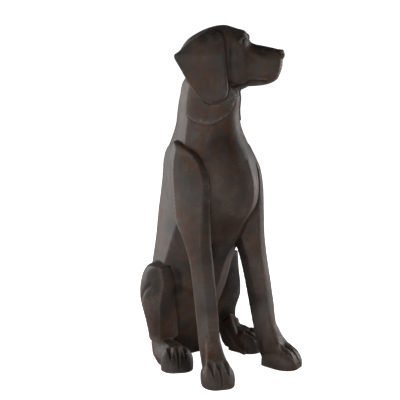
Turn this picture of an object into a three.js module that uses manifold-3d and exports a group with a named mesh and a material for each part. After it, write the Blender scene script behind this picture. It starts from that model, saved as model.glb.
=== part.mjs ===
// A sitting dog cast in resin as one piece: it faces -Y and turns its head to its own left.
// Millimetres, +Z up. X is the dog's left, Y its back, and x = 0 is the middle of its body.
import * as THREE from 'three';
import { mergeVertices } from 'three/addons/utils/BufferGeometryUtils.js';
import Module from 'manifold-3d';

// Overall size. The stations below are drawn for a dog DRAWN_HEIGHT tall and scaled to HEIGHT.
const HEIGHT = 700;
const DRAWN_HEIGHT = 700;
// Outer width of the stance over the hind feet, and length of the seat from front paws to tail. The forms below the
// head take their places across and along from these, and keep their own widths of paw, toe, tail and edge.
const STANCE_WIDTH = 270;
const SEAT_LENGTH = 345;
const DRAWN_WIDTH = 270;
const DRAWN_LENGTH = 345;

// Corners round each form, and the rings between two stations.
const TRUNK_CORNERS = 28;
const HEAD_CORNERS = 18;
const PAW_CORNERS = 14;
const TAIL_CORNERS = 8;
const STEPS = 2;

// Rump, belly, chest and neck: height, half width, front, widest place, back.
const TRUNK = [
  [0, 66, 71, 115, 158],
  [40, 76, 74, 118, 172],
  [100, 84, 54, 112, 184],
  [160, 82, 22, 98, 183],
  [220, 79, -4, 78, 172],
  [265, 78, -34, 58, 165],
  [305, 78, -56, 40, 159],
  [345, 79, -85, 26, 150],
  [385, 78, -91, 20, 143],
  [425, 76, -78, 20, 134],
  [460, 70, -58, 26, 117],
  [490, 60, -42, 32, 108],
  [525, 54, -37, 34, 105],
  [560, 51, -42, 34, 96],
  [590, 44, -30, 30, 82],
  [620, 34, -4, 24, 66],
];
// The front of the trunk is a narrow flat panel, then a facet, then a curve to the side: shares of half width, of
// depth and of the way round.
const CHEST = { panel: 0.2, panelStart: 6 / 7, facet: 0.5, facetDepth: 0.86, facetStart: 4 / 7 };
const CHEST_CURVE = [[1, 0], [1, 0.22], [0.82, 0.7], [0.5, 0.86]];
// Behind its widest place the trunk runs straight back to a corner, given as shares of half width and depth.
const BACK_CORNER = { wide: 0.52, deep: 0.97, turn: 0.62, swell: 0.05 };

// Shoulder and foreleg: height, outer x, front y, rear y, lean of the outer face, front face width, inner x,
// then how far in and back the rear facet runs: a broad blade at the shoulder, a narrow edge down the leg.
const FORELEG = [
  [466, 79, 44, 50, 2, 12, 36, 14, 14],
  [454, 85, 5, 36, 6, 17, 34, 21, 50],
  [434, 88, -21, 37, 13, 14, 34, 27, 67],
  [405, 90, -39, 38, 13, 13, 34, 30, 74],
  [368, 90, -43, 35, 9, 17, 34, 25, 70],
  [338, 90, -43, 31, 7, 19, 34, 12, 36],
  [305, 90, -43, 24, 6, 20, 34, 4, 9],
  [270, 90, -44, 0, 5, 21, 36, 3.5, 7],
  [230, 90, -50, -20, 4, 22, 40, 3.5, 7],
  [180, 91, -61, -31, 4, 23, 46, 3.5, 7],
  [120, 92, -72, -43, 3, 24, 51, 3.5, 7],
  [60, 93, -84, -55, 3, 25, 54, 3.5, 7],
  [0, 95, -94, -62, 3, 26, 55, 3.5, 7],
];
const REAR_EDGE = 7;
const FRONT_FACE_RISE = 8;

// Front and hind paws: length, half width and height of the knuckles, splay, and where the middle stands.
const FRONT_PAW = { length: 74, halfWidth: 33.5, height: 42, splay: 22, x: 86, y: -100 };
const HIND_PAW = { length: 66, halfWidth: 34, height: 45, splay: 28, x: 94, y: 23 };
const TOES = 4;
const TOE_GROOVE = { width: 5, depth: 11 };

// Hind foot under the thigh, from heel to paw: distance back, outer x, ridge x, inner x, underside, top.
const HIND_FOOT = [
  [98, 104, 99, 78, 30, 48],
  [80, 112, 100, 72, 8, 49],
  [58, 116, 101, 70, -4, 48],
  [34, 119, 106, 70, -4, 46],
  [14, 117, 108, 75, -4, 40],
];
// Height of the foot's outer edge, below the bevel that rises to its ridge, and how far the sole is undercut.
const FOOT_EDGE = { height: 16, undercut: 6, inner: 7 };

// Thigh: height, front y, front ridge x, outermost x, outermost y, rear y.
const THIGH = [
  [46, 60, 106, 115, 80, 112],
  [80, 58, 107, 113, 92, 129],
  [130, 56, 108, 119, 98, 146],
  [170, 54, 101, 118, 95, 142],
  [198, 58, 102, 112, 92, 134],
  [208, 62, 105, 110, 88, 124],
];
const THIGH_INNER = 40;
// How far the corners of its section lie behind the front face or in from the ridge, and how far its side swells.
const THIGH_FRONT = { innerBehind: 30, bevelWidth: 20, bevelBehind: 5, ridgeBehind: 4, swell: 3 };
// Its rear corners: how far in from the outermost place, and the share of the way back.
const THIGH_REAR = { hipIn: 5, hipShare: 0.45, haunchIn: 18, haunchShare: 0.82, width: 40, tuck: 4 };
// The left thigh is cut back at its foot, from this height down.
const LEFT_THIGH_UNDERCUT = { depth: 30, from: 110, to: 35 };

// Tail: it comes round the left of the rump and ends inside the left hind foot. Place and radius.
const TAIL = [
  [0, 166, 44, 22],
  [26, 184, 27, 21],
  [78, 174, 20, 19],
  [114, 140, 18, 16],
  [124, 106, 24, 14],
  [108, 84, 40, 14],
  [89, 70, 42, 19],
  [74, 45, 32, 19],
  [66, 18, 15, 12],
  [64, -9, 4, 4],
];

// Head: where its middle stands, how far it turns, and its sections along the face.
const HEAD = { x: 0, y: 22, turn: 45 };
// Distance forward, top, bottom, half width, height of the widest place.
const SKULL = [
  [-66, 648, 612, 20, 630],
  [-48, 671, 586, 36, 630],
  [-15, 690, 566, 45, 632],
  [19, 698, 562, 46, 640],
  [45, 692, 566, 41, 642],
  [64, 685, 572, 35, 640],
  [72, 671, 576, 31, 628],
  [80, 662, 577, 29, 620],
  [105, 657, 580, 27, 618],
  [124, 653, 587, 24, 618],
  [134, 650, 600, 20, 622],
  [139, 646, 617, 13, 632],
];
const SKULL_ROUNDNESS = 2.5;
const NOSE = { from: 120, to: 144, top: 652, bottom: 633, halfWidth: 15 };
// The mouth line: its ends, height and rise, its cut, and half the width of the face at its two ends.
const MOUTH = { from: 38, to: 104, height: 587, rise: 8, width: 2.4, depth: 3.5, cheek: 38, lips: 24 };
const MOUTH_REACH = 20;
// The eye stands this far forward, below the top of the skull there and in from its side, in a socket cut further out.
const EYE = { forward: 64, drop: 15, inset: 6, radius: 6.5, socket: 9, out: 5 };

// Ear, from its fold down to its tip: height, front edge, back edge, and how far it stands out.
const EAR = [
  [690, 16, -10, 30],
  [683, 22, -22, 42],
  [668, 27, -44, 51],
  [650, 30, -63, 57],
  [640, 31, -73, 59],
  [618, 33, -61, 61],
  [590, 36, -44, 63],
  [567, 35, -27, 64],
  [556, 24, -14, 63],
  [550, 8, -2, 60],
];
const EAR_THICKNESS = 13;
const EAR_EDGE = 5;
// The head turns left, so the left ear lies over the neck and is pushed out.
const LEFT_EAR_PUSH = 15;

// The raised lobe on each side of the neck, below the ear, as distance back and height.
const LOBE_OUTLINE = [
  [72, 588],
  [72, 556],
  [60, 535],
  [34, 515],
  [6, 503],
  [-18, 500],
  [-30, 508],
  [-37, 530],
  [-46, 552],
  [-46, 588],
];
const LOBE_RISE = 5;
const FLOOR_CUT = 60;

const { Manifold, Mesh } = await loadManifold();

async function loadManifold() {
  const wasm = await Module();
  wasm.setup();
  return wasm;
}

function catmullRom(a, b, c, d, t) {
  return a.map((_, i) => {
    const slopeIn = (c[i] - a[i]) / 2;
    const slopeOut = (d[i] - b[i]) / 2;
    const gap = c[i] - b[i];
    return b[i] + t * (slopeIn + t * (3 * gap - 2 * slopeIn - slopeOut + t * (slopeIn + slopeOut - 2 * gap)));
  });
}

// Rows of numbers with extra rows worked out on a smooth curve between them.
function smoothRows(rows, steps) {
  const out = [];
  for (let i = 0; i < rows.length - 1; i++) {
    const before = rows[Math.max(i - 1, 0)];
    const after = rows[Math.min(i + 2, rows.length - 1)];
    for (let k = 0; k < steps; k++) {
      out.push(catmullRom(before, rows[i], rows[i + 1], after, k / steps));
    }
  }
  out.push(rows[rows.length - 1]);
  return out;
}

// A closed body through rings of points that all run the same way round.
function loft(rings) {
  const count = rings[0].length;
  const points = rings.flat();
  const middle = (ring) => ring.reduce((sum, p) => sum.add(p), new THREE.Vector3()).divideScalar(count);
  points.push(middle(rings[0]), middle(rings[rings.length - 1]));
  const first = points.length - 2;
  const last = points.length - 1;
  const index = [];
  for (let r = 0; r < rings.length - 1; r++) {
    for (let i = 0; i < count; i++) {
      const j = (i + 1) % count;
      const a = r * count + i;
      const b = r * count + j;
      index.push(a, b, a + count, b, b + count, a + count);
    }
  }
  for (let i = 0; i < count; i++) {
    const j = (i + 1) % count;
    const end = (rings.length - 1) * count;
    index.push(first, j, i, last, end + i, end + j);
  }
  const geometry = new THREE.BufferGeometry();
  geometry.setAttribute('position', new THREE.Float32BufferAttribute(points.flatMap((p) => p.toArray()), 3));
  geometry.setIndex(index);
  return geometry;
}

function volumeOf(geometry) {
  const p = geometry.attributes.position;
  const at = (i) => new THREE.Vector3().fromBufferAttribute(p, geometry.index.getX(i));
  let volume = 0;
  for (let i = 0; i < geometry.index.count; i += 3) {
    volume += at(i).dot(at(i + 1).cross(at(i + 2))) / 6;
  }
  return volume;
}

// A solid whose faces all point out, whichever way its rings were drawn.
function solid(geometry) {
  const index = Array.from(geometry.index.array);
  if (volumeOf(geometry) < 0) {
    index.reverse();
  }
  return new Manifold(
    new Mesh({
      numProp: 3,
      vertProperties: new Float32Array(geometry.attributes.position.array),
      triVerts: new Uint32Array(index),
    }),
  );
}

// Place of a drawn point of the body, across and along, for the sizes given above.
function onBody(x, y, z) {
  return new THREE.Vector3((x * STANCE_WIDTH) / DRAWN_WIDTH, (y * SEAT_LENGTH) / DRAWN_LENGTH, z);
}

function squircle(angle, power) {
  const c = Math.cos(angle);
  const s = Math.sin(angle);
  return [Math.sign(c) * Math.abs(c) ** (2 / power), Math.sign(s) * Math.abs(s) ** (2 / power)];
}

// Half width and depth ahead of the widest place, from the side (0) to the middle of the chest (1).
function frontShape(share) {
  const { panel, panelStart, facet, facetDepth, facetStart } = CHEST;
  if (share > panelStart) return [(panel * (1 - share)) / (1 - panelStart), 1];
  if (share > facetStart) {
    const t = (share - facetStart) / (panelStart - facetStart);
    return [THREE.MathUtils.lerp(facet, panel, t), THREE.MathUtils.lerp(facetDepth, 1, t)];
  }
  const t = share / facetStart;
  const weights = [(1 - t) ** 3, 3 * t * (1 - t) ** 2, 3 * t * t * (1 - t), t ** 3];
  return [0, 1].map((k) => CHEST_CURVE.reduce((sum, point, i) => sum + weights[i] * point[k], 0));
}

// Half width and depth behind the widest place, from the side (0) to the middle of the back (1).
function backShape(share) {
  const { wide, deep, turn, swell } = BACK_CORNER;
  if (share > turn) {
    const t = (share - turn) / (1 - turn);
    return [wide * (1 - t), THREE.MathUtils.lerp(deep, 1, Math.sqrt(t))];
  }
  const t = share / turn;
  const out = swell * 4 * t * (1 - t);
  return [THREE.MathUtils.lerp(1, wide, t) + out * deep, deep * t + out * (1 - wide)];
}

function trunkRing([z, halfWidth, front, widest, back], outset) {
  const ring = [];
  for (let i = 0; i < TRUNK_CORNERS; i++) {
    const angle = (2 * Math.PI * i) / TRUNK_CORNERS;
    const inFront = Math.sin(angle) < 0;
    const share = 1 - Math.abs(2 * (angle % Math.PI) - Math.PI) / Math.PI;
    const [u, v] = inFront ? frontShape(share) : backShape(share);
    const side = Math.cos(angle) < 0 ? -1 : 1;
    const reach = inFront ? front - widest - outset : back - widest + outset;
    ring.push(onBody(side * u * (halfWidth + outset), widest + v * reach, z));
  }
  return ring;
}

function trunk(outset = 0) {
  return solid(loft(smoothRows(TRUNK, STEPS).map((row) => trunkRing(row, outset))));
}

// An upright slab from an outline in Y and Z, between two distances across.
function slab(outline, from, to) {
  return solid(loft([from, to].map((x) => outline.map(([y, z]) => onBody(x, y, z)))));
}

function neckLobes() {
  const reach = 120;
  return trunk(LOBE_RISE).intersect(slab(LOBE_OUTLINE, -reach, reach));
}

function forelegRing([z, outer, front, rear, lean, face, inner, bladeIn, bladeBack], side) {
  const corners = [
    [outer - lean, front],
    [outer, rear],
    [outer - bladeIn, rear + bladeBack],
    [inner, rear + REAR_EDGE],
    [inner + REAR_EDGE / 2, (front + rear) / 2],
    [outer - lean - face, front - FRONT_FACE_RISE],
  ];
  return corners.map(([x, y]) => onBody(side * x, y, z));
}

function foreleg(side) {
  return solid(loft(smoothRows(FORELEG, STEPS).map((row) => forelegRing(row, side))));
}

// A paw along +f from its heel, with its toes fanned out and grooves between them.
function paw({ length, halfWidth, height, splay, x, y }, side) {
  const rows = [
    [-0.5, 0.66, 0.62],
    [-0.3, 0.8, 0.82],
    [0, 0.94, 1],
    [0.2, 0.98, 0.98],
    [0.36, 0.87, 0.8],
    [0.46, 0.67, 0.56],
    [0.5, 0.46, 0.32],
  ];
  const turn = THREE.MathUtils.degToRad(splay) * side;
  const place = new THREE.Matrix4().makeRotationZ(turn).setPosition(onBody(side * x, y, 0));
  const put = (across, forward, up) => new THREE.Vector3(across, -forward, up).applyMatrix4(place);
  const rings = smoothRows(rows, STEPS).map(([f, wide, high]) => {
    const ring = [];
    for (let i = 0; i < PAW_CORNERS; i++) {
      const angle = (2 * Math.PI * (i + 0.5)) / PAW_CORNERS;
      const [u, v] = squircle(angle, 3);
      const up = Math.max(0, (v * 0.75 + 0.25) * height * high);
      ring.push(put(u * halfWidth * wide, f * length, up));
    }
    return ring;
  });
  let body = solid(loft(rings));
  for (let k = 1; k < TOES; k++) {
    const across = (2 * k) / TOES - 1;
    body = body.subtract(groove(across, { length, halfWidth, height }, put));
  }
  return body;
}

// A wedge that opens upward and forward between two toes.
function groove(across, { length, halfWidth, height }, put) {
  const { width, depth } = TOE_GROOVE;
  const stations = [
    [0.02, height + 2, 0.5],
    [0.24, height - depth * 0.6, 1],
    [0.4, height * 0.74 - depth, 1],
    [0.56, -2, 1],
  ];
  const rings = stations.map(([f, floor, open]) => {
    const middle = across * halfWidth * (0.72 + 0.2 * f);
    return [
      put(middle, (f - 0.04) * length, floor),
      put(middle + width * open, f * length, height * 1.5),
      put(middle, (f + 0.3) * length, height * 1.2),
      put(middle - width * open, f * length, height * 1.5),
    ];
  });
  return solid(loft(rings));
}

function hindFoot(side) {
  const { height, undercut, inner: edge } = FOOT_EDGE;
  const rings = smoothRows(HIND_FOOT, STEPS).map(([y, outer, ridge, inner, low, high]) => {
    const corners = [[inner, low], [outer - undercut, low], [outer, Math.max(height, low + 8)], [ridge, high]];
    corners.push([inner + edge, high], [inner, high - edge]);
    return corners.map(([x, z]) => onBody(side * x, y, z));
  });
  return solid(loft(rings));
}

function thighRing([z, front, ridge, outer, outerY, rear], side) {
  const { depth, from, to } = LEFT_THIGH_UNDERCUT;
  const undercut = side > 0 ? depth * Math.max(0, (from - z) / (from - to)) : 0;
  const face = Math.min(front + undercut, outerY - 4);
  const behind = rear - outerY;
  const corners = [
    [THIGH_INNER, face + THIGH_FRONT.innerBehind],
    [THIGH_INNER + THIGH_FRONT.bevelWidth, face + THIGH_FRONT.bevelBehind],
    [ridge, face + THIGH_FRONT.ridgeBehind],
    [(ridge + outer) / 2 + THIGH_FRONT.swell, (face + outerY) / 2],
    [outer, outerY],
    [outer - THIGH_REAR.hipIn, outerY + behind * THIGH_REAR.hipShare],
    [outer - THIGH_REAR.haunchIn, outerY + behind * THIGH_REAR.haunchShare],
    [outer - THIGH_REAR.width, rear],
    [THIGH_INNER, rear + THIGH_REAR.tuck],
  ];
  return corners.map(([x, y]) => onBody(side * x, y, z));
}

function thigh(side) {
  return solid(loft(smoothRows(THIGH, STEPS).map((row) => thighRing(row, side))));
}

function tail() {
  const rows = smoothRows(TAIL, STEPS + 1);
  const points = rows.map(([x, y, z]) => onBody(x, y, z));
  const rings = rows.map(([, , , radius], i) => {
    const before = points[Math.max(i - 1, 0)];
    const after = points[Math.min(i + 1, points.length - 1)];
    const along = after.clone().sub(before).normalize();
    const across = new THREE.Vector3(0, 0, 1).cross(along).normalize();
    const up = along.clone().cross(across);
    const ring = [];
    for (let k = 0; k < TAIL_CORNERS; k++) {
      const angle = (2 * Math.PI * (k + 0.5)) / TAIL_CORNERS;
      ring.push(
        points[i]
          .clone()
          .addScaledVector(across, Math.cos(angle) * radius)
          .addScaledVector(up, Math.sin(angle) * radius),
      );
    }
    return ring;
  });
  return solid(loft(rings));
}

// Head places: forward along the face, to the dog's left, and up from the ground.
const headTurn = new THREE.Matrix4()
  .makeRotationZ(THREE.MathUtils.degToRad(HEAD.turn))
  .setPosition(HEAD.x, HEAD.y, 0);

function onHead(forward, left, up) {
  return new THREE.Vector3(left, -forward, up).applyMatrix4(headTurn);
}

function skull() {
  const rings = smoothRows(SKULL, STEPS).map(([forward, top, bottom, halfWidth, widest]) => {
    const ring = [];
    for (let i = 0; i < HEAD_CORNERS; i++) {
      const angle = (2 * Math.PI * (i + 0.5)) / HEAD_CORNERS;
      const [u, v] = squircle(angle, SKULL_ROUNDNESS);
      ring.push(onHead(forward, u * halfWidth, widest + v * (v > 0 ? top - widest : widest - bottom)));
    }
    return ring;
  });
  return solid(loft(rings));
}

// Top and half width of the skull at a distance forward.
function skullAt(forward) {
  const after = SKULL.findIndex((row) => row[0] >= forward);
  const [a, b] = [SKULL[after - 1], SKULL[after]];
  const share = (forward - a[0]) / (b[0] - a[0]);
  return { top: THREE.MathUtils.lerp(a[1], b[1], share), halfWidth: THREE.MathUtils.lerp(a[3], b[3], share) };
}

function nose() {
  const { from, to, top, bottom, halfWidth } = NOSE;
  const rows = [[from, 0.8, 0], [(from + to) / 2, 1, 0], [to - 2, 0.9, 0], [to, 0.6, 3]];
  const rings = rows.map(([forward, wide, inset]) => {
    const w = halfWidth * wide;
    const corners = [[-w, top - 4], [-w * 0.6, top - inset], [w * 0.6, top - inset], [w, top - 4]];
    corners.push([w * 0.8, bottom + 4], [w * 0.3, bottom + inset], [-w * 0.3, bottom + inset], [-w * 0.8, bottom + 4]);
    return corners.map(([left, up]) => onHead(forward, left, up));
  });
  return solid(loft(rings));
}

function ear(side) {
  const [top] = EAR[0];
  const [tip] = EAR[EAR.length - 1];
  const rings = smoothRows(EAR, STEPS).map(([z, front, back, stands]) => {
    const push = side > 0 ? (LEFT_EAR_PUSH * (top - z)) / (top - tip) : 0;
    const out = stands + push;
    const inner = out - EAR_THICKNESS;
    const edge = Math.min(EAR_EDGE, (front - back) / 4);
    const corners = [[back, inner], [back + edge / 2, out - edge / 2], [back + edge * 2, out]];
    corners.push([(front + back) / 2, out + 2], [front - edge, out], [front, out - edge], [front, inner - 4]);
    return corners.map(([forward, left]) => onHead(forward, side * left, z));
  });
  return solid(loft(rings));
}

// A shallow cut along the lips on one side.
function mouthCut(side) {
  const { from, to, height, rise, width, depth, cheek, lips } = MOUTH;
  const places = [0, 0.35, 0.7, 1];
  const rings = places.map((t) => {
    const forward = THREE.MathUtils.lerp(from, to, t);
    const z = height + rise * t * t;
    const halfWidth = THREE.MathUtils.lerp(cheek, lips, t);
    return [
      onHead(forward, side * (halfWidth - depth), z),
      onHead(forward, side * (halfWidth + MOUTH_REACH), z + width * 2),
      onHead(forward, side * (halfWidth + MOUTH_REACH), z - width * 2),
    ];
  });
  return solid(loft(rings));
}

function ball(place, radius) {
  const geometry = new THREE.IcosahedronGeometry(radius, 1);
  geometry.deleteAttribute('normal');
  geometry.deleteAttribute('uv');
  geometry.translate(place.x, place.y, place.z);
  return solid(mergeVertices(geometry));
}

function sculpture() {
  const sides = [-1, 1];
  const forms = [trunk(), neckLobes(), tail(), skull(), nose()];
  for (const side of sides) {
    forms.push(foreleg(side), paw(FRONT_PAW, side), thigh(side), hindFoot(side), paw(HIND_PAW, side), ear(side));
  }
  let body = forms.reduce((joined, form) => joined.add(form));
  for (const side of sides) {
    const { forward, drop, inset, radius, socket, out } = EYE;
    const { top, halfWidth } = skullAt(forward);
    body = body.subtract(mouthCut(side));
    body = body.subtract(ball(onHead(forward, side * (halfWidth - inset + out), top - drop), socket));
    body = body.add(ball(onHead(forward, side * (halfWidth - inset), top - drop), radius));
  }
  return body.subtract(ground());
}

// Everything below the floor is cut off, so that feet and rump stand flat.
function ground() {
  const box = new THREE.BoxGeometry(STANCE_WIDTH * 2, SEAT_LENGTH * 2, FLOOR_CUT);
  box.deleteAttribute('normal');
  box.deleteAttribute('uv');
  box.translate(0, 0, -FLOOR_CUT / 2);
  return solid(mergeVertices(box));
}

// Scaled to the height, with the middle of its footprint at the origin.
function toGeometry(body) {
  const mesh = body.getMesh();
  const geometry = new THREE.BufferGeometry();
  geometry.setAttribute('position', new THREE.BufferAttribute(new Float32Array(mesh.vertProperties), 3));
  geometry.setIndex(new THREE.BufferAttribute(new Uint32Array(mesh.triVerts), 1));
  geometry.computeBoundingBox();
  const { min, max } = geometry.boundingBox;
  geometry.translate(-(min.x + max.x) / 2, -(min.y + max.y) / 2, -min.z);
  geometry.scale(HEIGHT / DRAWN_HEIGHT, HEIGHT / DRAWN_HEIGHT, HEIGHT / DRAWN_HEIGHT);
  geometry.computeVertexNormals();
  return geometry;
}

const resin = new THREE.MeshStandardMaterial({ color: 0x2e2724, roughness: 0.52, metalness: 0 });
const dog = new THREE.Mesh(toGeometry(sculpture()), resin);
dog.name = 'sitting_dog';

const group = new THREE.Group();
group.add(dog);

export default group;
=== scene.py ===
import math

import bpy
import numpy as np
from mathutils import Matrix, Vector, noise


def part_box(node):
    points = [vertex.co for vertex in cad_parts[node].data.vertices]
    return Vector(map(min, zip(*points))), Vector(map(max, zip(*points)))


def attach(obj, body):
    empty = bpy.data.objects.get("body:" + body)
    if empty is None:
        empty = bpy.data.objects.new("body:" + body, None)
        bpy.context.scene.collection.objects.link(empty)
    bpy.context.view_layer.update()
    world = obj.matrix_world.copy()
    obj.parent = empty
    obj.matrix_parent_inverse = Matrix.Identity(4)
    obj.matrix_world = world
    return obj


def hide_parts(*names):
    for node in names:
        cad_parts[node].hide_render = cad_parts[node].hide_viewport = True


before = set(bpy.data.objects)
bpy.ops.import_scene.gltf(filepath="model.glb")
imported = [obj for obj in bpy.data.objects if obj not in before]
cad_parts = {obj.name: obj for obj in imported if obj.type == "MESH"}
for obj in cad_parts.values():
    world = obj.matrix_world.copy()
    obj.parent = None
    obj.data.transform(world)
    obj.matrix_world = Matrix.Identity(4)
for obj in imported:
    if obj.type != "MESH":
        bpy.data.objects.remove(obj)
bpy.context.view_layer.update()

bl_info = {
    "name": "Sitting dog sculpture",
    "version": (1, 0, 0),
    "blender": (4, 5, 0),
    "location": "3D View > Sidebar > Sitting Dog",
    "description": "Builds a sitting dog cast in dark resin, its finish, and a studio stage for it",
    "category": "Add Mesh",
}

NODE = "sitting_dog"
MM = 0.001
SIDES = (-1, 1)
# Where the middle of the solid's box lies in the frame that the forms are drawn in, in millimetres.
DRAWN_MIDDLE = (3.13, 31.68)

# The forms below are drawn in millimetres: X is the dog's left, Y its back and Z up, and x = 0 is the middle
# of its body.
# Rump, belly, chest and neck: height, half width, front, widest place, back.
TRUNK = [
    (0, 66, 71, 115, 158),
    (40, 76, 74, 118, 172),
    (100, 84, 54, 112, 184),
    (160, 82, 22, 98, 183),
    (220, 79, -4, 78, 172),
    (265, 78, -34, 58, 165),
    (305, 78, -56, 40, 159),
    (345, 79, -85, 26, 150),
    (385, 78, -91, 20, 143),
    (425, 76, -78, 20, 134),
    (460, 70, -58, 26, 117),
    (490, 60, -42, 32, 108),
    (525, 54, -37, 34, 105),
    (560, 51, -42, 34, 96),
    (590, 44, -30, 30, 82),
    (620, 34, -4, 24, 66),
]
# The front of the trunk is a narrow flat panel, then a facet, then a curve to the side: shares of half width,
# of depth and of the way round.
CHEST = {"panel": 0.2, "panel_start": 0.84, "facet": 0.5, "facet_depth": 0.86, "facet_start": 0.56}
CHEST_CURVE = [(1, 0), (1, 0.22), (0.82, 0.7), (0.5, 0.86)]
# Behind its widest place the trunk runs straight back to a corner, given as shares of half width and depth.
BACK_CORNER = {"wide": 0.52, "deep": 0.97, "turn": 0.62, "swell": 0.05}

# Shoulder and foreleg: height, outer x, front y, rear y, lean of the outer face, front face width, inner x,
# then how far in and back the rear facet runs: a broad blade at the shoulder, a narrow edge down the leg.
FORELEG = [
    (466, 79, 44, 50, 2, 12, 36, 14, 14),
    (454, 85, 5, 36, 6, 17, 34, 21, 50),
    (434, 88, -21, 37, 13, 14, 34, 27, 67),
    (405, 90, -39, 38, 13, 13, 34, 30, 74),
    (368, 90, -43, 35, 9, 17, 34, 25, 70),
    (338, 90, -43, 31, 7, 19, 34, 12, 36),
    (305, 90, -43, 24, 6, 20, 34, 4, 9),
    (270, 90, -44, 0, 5, 21, 36, 3.5, 7),
    (230, 90, -50, -20, 4, 22, 40, 3.5, 7),
    (180, 91, -61, -31, 4, 23, 46, 3.5, 7),
    (120, 92, -72, -43, 3, 24, 51, 3.5, 7),
    (60, 93, -84, -55, 3, 25, 56, 3.5, 7),
    (16, 93, -90, -66, 3, 25, 60, 3.5, 6),
    (0, 90, -92, -76, 3, 22, 66, 3.5, 4),
]
REAR_EDGE = 7
FRONT_FACE_RISE = 8
SLAB_SWELL = 0.035

# Paws: length, half width, height of the knuckles, splay in degrees, and where the middle stands.
FRONT_PAW = {"length": 74, "half_width": 33.5, "height": 42, "splay": 22, "x": 86, "y": -100}
HIND_PAW = {"length": 66, "half_width": 34, "height": 45, "splay": 28, "x": 94, "y": 23}
TOES = 4
PAWS = [(paw, side) for paw in (FRONT_PAW, HIND_PAW) for side in SIDES]
# Sections along a paw, and along the slope from the front of the leg down to the front paw's knuckles: their
# place, width and height, as shares of the paw's own.
PAW_SHAPE = [
    (-0.5, 0.66, 0.62),
    (-0.3, 0.82, 0.86),
    (0.0, 0.96, 1.02),
    (0.2, 0.99, 0.97),
    (0.38, 0.86, 0.77),
    (0.5, 0.62, 0.5),
    (0.55, 0.38, 0.28),
]
INSTEP_SHAPE = [
    (-0.5, 0.5, 2.4),
    (-0.3, 0.54, 2.2),
    (-0.16, 0.6, 1.85),
    (-0.08, 0.67, 1.55),
    (0.02, 0.76, 1.28),
    (0.12, 0.85, 1.08),
    (0.22, 0.86, 0.94),
    (0.3, 0.78, 0.78),
]
# Grooves between the toes: how wide they are at the knuckle and at the sole, and the rim beside them.
TOE_GROOVE = {"wide": 7.6, "fine": 2.4, "rim": 0.6, "rim_width": 1.8}
# The way of a groove from the knuckles down to the sole, as shares: across its own place, along, and up.
TOE_LINE = [(0.84, 0.04, 1.06), (0.92, 0.3, 0.92), (0.92, 0.46, 0.6), (0.88, 0.57, 0.14)]
# How much shorter the outer grooves are.
TOE_SHORT = 0.1
# The hollow above the knuckles: where it lies along and over the paw, its depth and its reach.
PAW_HOLLOW = {"along": 0.04, "over": 1.25, "depth": 2.4, "reach": 11}

# Hind foot under the thigh, from heel to paw: distance back, outer x, ridge x, inner x, underside, top.
HIND_FOOT = [
    (98, 104, 99, 78, 30, 48),
    (80, 112, 100, 72, 8, 49),
    (58, 116, 101, 70, -4, 48),
    (34, 119, 106, 70, -4, 46),
    (14, 117, 108, 75, -4, 40),
]
# Height of the foot's outer edge, below the bevel that rises to its ridge, and how far the sole is undercut.
FOOT_EDGE = {"height": 16, "least": 8, "undercut": 6, "inner": 7}

# Thigh: height, front y, front ridge x, outermost x, outermost y, rear y.
THIGH = [
    (46, 60, 106, 115, 80, 112),
    (80, 58, 107, 113, 92, 129),
    (130, 56, 108, 119, 98, 146),
    (170, 54, 101, 118, 95, 142),
    (198, 58, 102, 112, 92, 128),
    (206, 62, 104, 108, 84, 106),
]
THIGH_INNER = 40
# The thigh's section ahead of its outermost place, and behind it, with shares of the way back.
THIGH_FRONT = {"inner_behind": 30, "bevel_width": 20, "bevel_behind": 5, "ridge_behind": 4, "swell": 3}
THIGH_REAR = {"hip_in": 5, "hip_share": 0.45, "haunch_in": 18, "haunch_share": 0.82, "width": 40, "tuck": 4}
# The left thigh's front is cut back toward the floor, from one height down to the other.
LEFT_THIGH_UNDERCUT = {"depth": 30, "from": 110, "to": 35}

# Tail: it comes round the left of the rump and ends inside the left hind foot. Place and radius.
TAIL = [
    (0, 166, 44, 22),
    (26, 184, 27, 21),
    (78, 174, 20, 19),
    (114, 140, 18, 16),
    (124, 106, 24, 14),
    (108, 84, 40, 14),
    (89, 70, 42, 19),
    (74, 45, 32, 19),
    (66, 18, 15, 12),
    (64, -9, 4, 4),
]
TAIL_FURROWS = {"number": 7, "depth": 0.07, "twist": 0.02}

# Head: where its middle stands and how far it turns, in degrees.
HEAD_X = 0
HEAD_Y = 22
HEAD_TURN = 45
# Sections along the face: distance forward, top, bottom, half width, height of the widest place.
SKULL = [
    (-66, 648, 612, 20, 630),
    (-48, 671, 586, 36, 630),
    (-15, 690, 566, 45, 632),
    (19, 698, 562, 46, 640),
    (45, 692, 566, 41, 642),
    (64, 686, 572, 35, 640),
    (71, 671, 576, 31, 628),
    (80, 662, 577, 29, 620),
    (105, 657, 580, 27, 618),
    (124, 653, 587, 24, 618),
    (134, 650, 600, 20, 622),
    (139, 646, 617, 13, 632),
]
SKULL_ROUNDNESS = 2.5
NOSE_PAD = {"from": 118, "to": 144.5, "top": 652, "bottom": 628, "half_width": 15}
# Wing of the nose: how far behind the tip, its place across as a share, its rise and its half sizes.
NOSE_WING = {
    "behind": 8,
    "across": 0.55,
    "rise": 0.5,
    "half_length": 7.5,
    "half_width": 6.5,
    "height_share": 0.86,
}
# Eye: its place, the half sizes of its opening, the thickness of its lids, how far the ball stands out and is
# sunk, and how far the eye turns to the front.
EYE = {
    "forward": 63.5,
    "out": 26.5,
    "height": 670,
    "half_width": 8.5,
    "half_height": 7.8,
    "lid": 2.2,
    "ball": 4.5,
    "sunk": 1,
    "turn": 48,
}
# Lids: how far they run past the ball, how much they close at the corners, how round they are, and how far
# they arch and stand out.
LIDS = {"length": 1.12, "pinch": 0.25, "roundness": 1.1, "arch": 1.2, "proud": 0.8}
# Lip line on the side of the face: distance forward and height.
LIP_LINE = [(38, 583), (52, 582), (66, 583), (75, 589), (87, 591), (101, 590), (116, 589)]
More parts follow.
